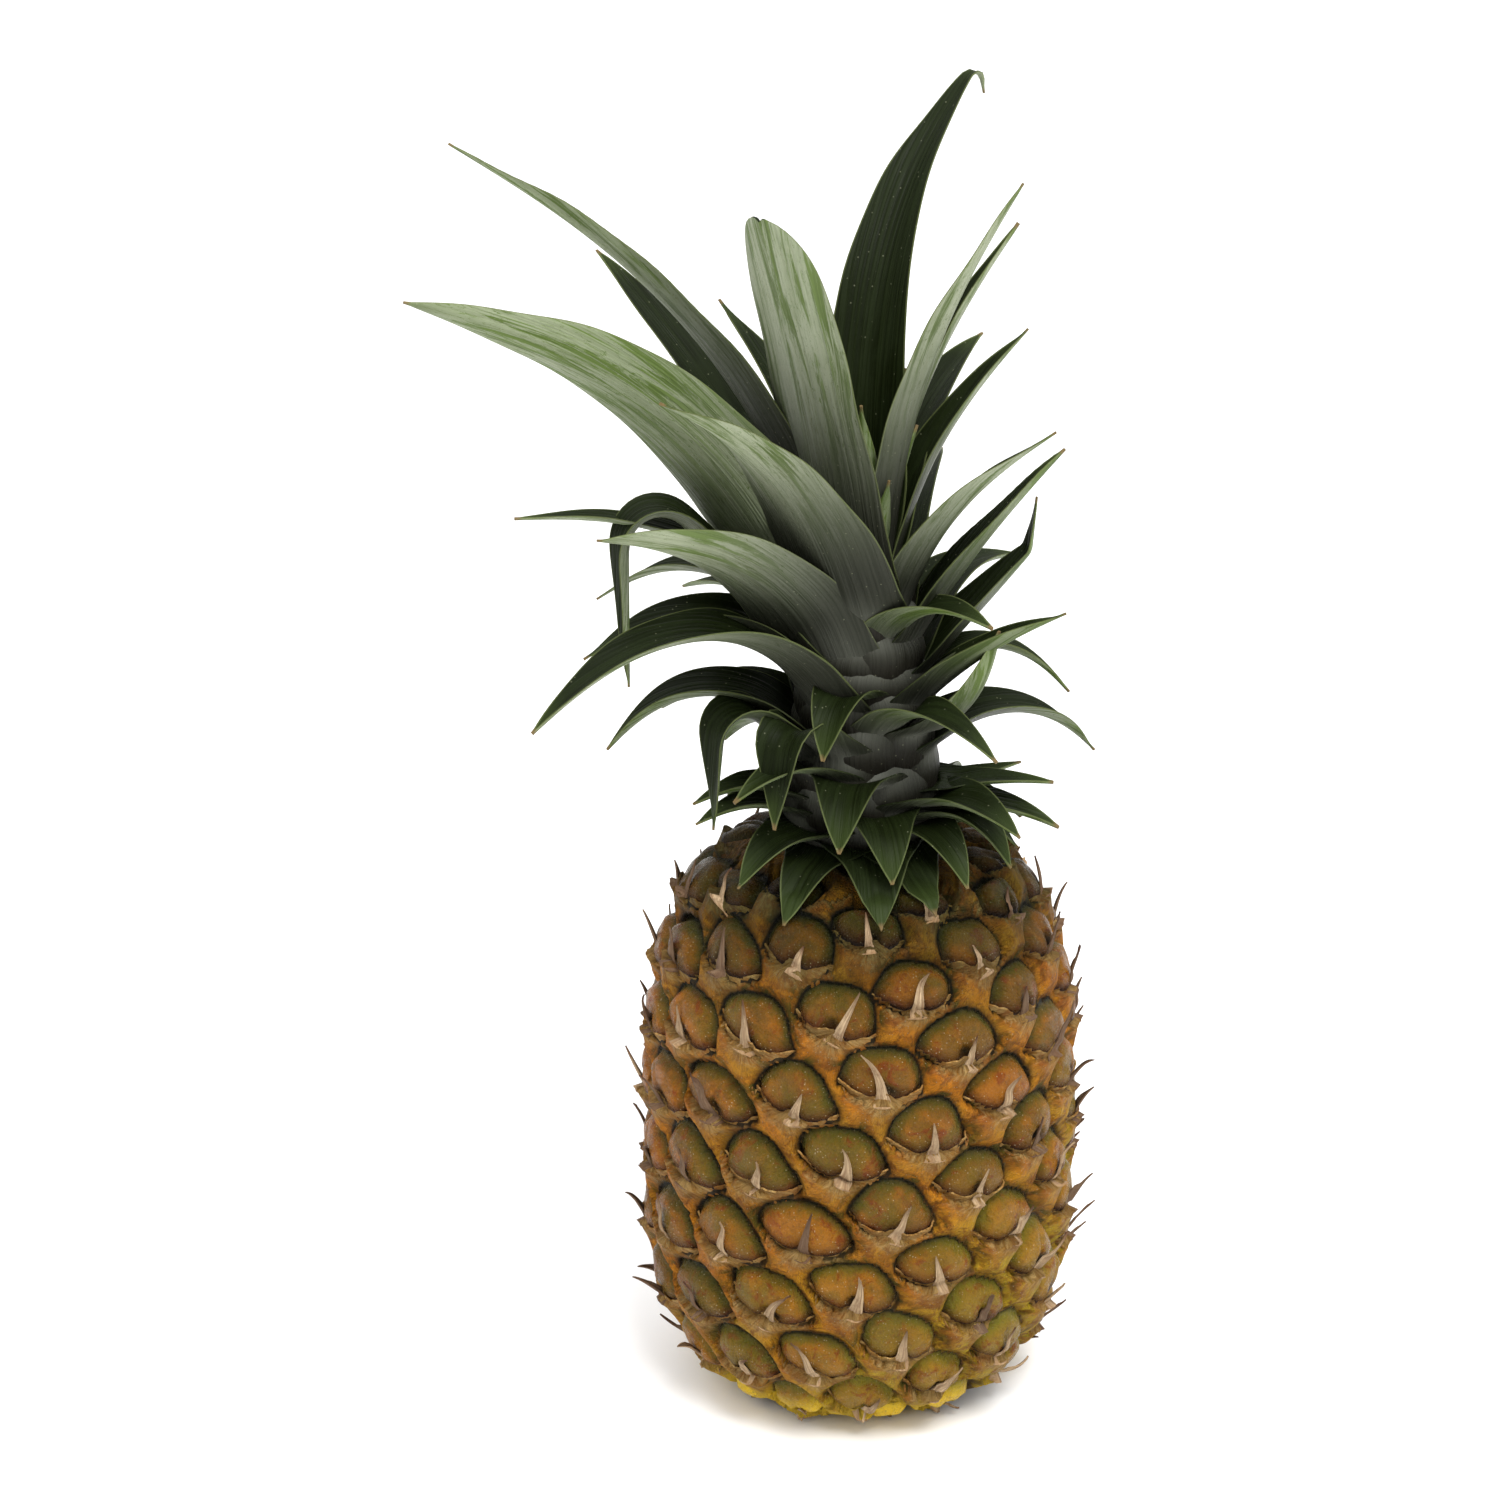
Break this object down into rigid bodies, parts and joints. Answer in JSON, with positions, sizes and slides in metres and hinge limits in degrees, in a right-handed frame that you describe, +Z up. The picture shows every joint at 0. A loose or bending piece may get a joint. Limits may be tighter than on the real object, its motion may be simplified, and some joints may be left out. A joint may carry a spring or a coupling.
{
  "type": "pineapple",
  "caption": "Whole pineapple standing upright on its cut base, with raised eyes, dry spines and a leafy crown.",
  "frame": {"origin": "middle of the flat spot under the fruit, in the plane of the surface that it stands on", "axes": "+Z up along the fruit to the crown, -Y towards the side that shows in the picture, +X to the right of it"},
  "size_m": [0.1791, 0.1452, 0.3451],
  "materials": {
    "fruit_skin": "waxy orange-brown and yellow-green rind with dark grooves and papery tan bracts",
    "crown_leaves": "stiff satin green leaf, grey-green bloom on the underside",
    "cut_stalk": "dry, fibrous, matte"
  },
  "bodies": {
    "root": {"fruit": "fruit_skin", "crown": "crown_leaves", "stem_stub": "cut_stalk"}
  },
  "joints": []
}
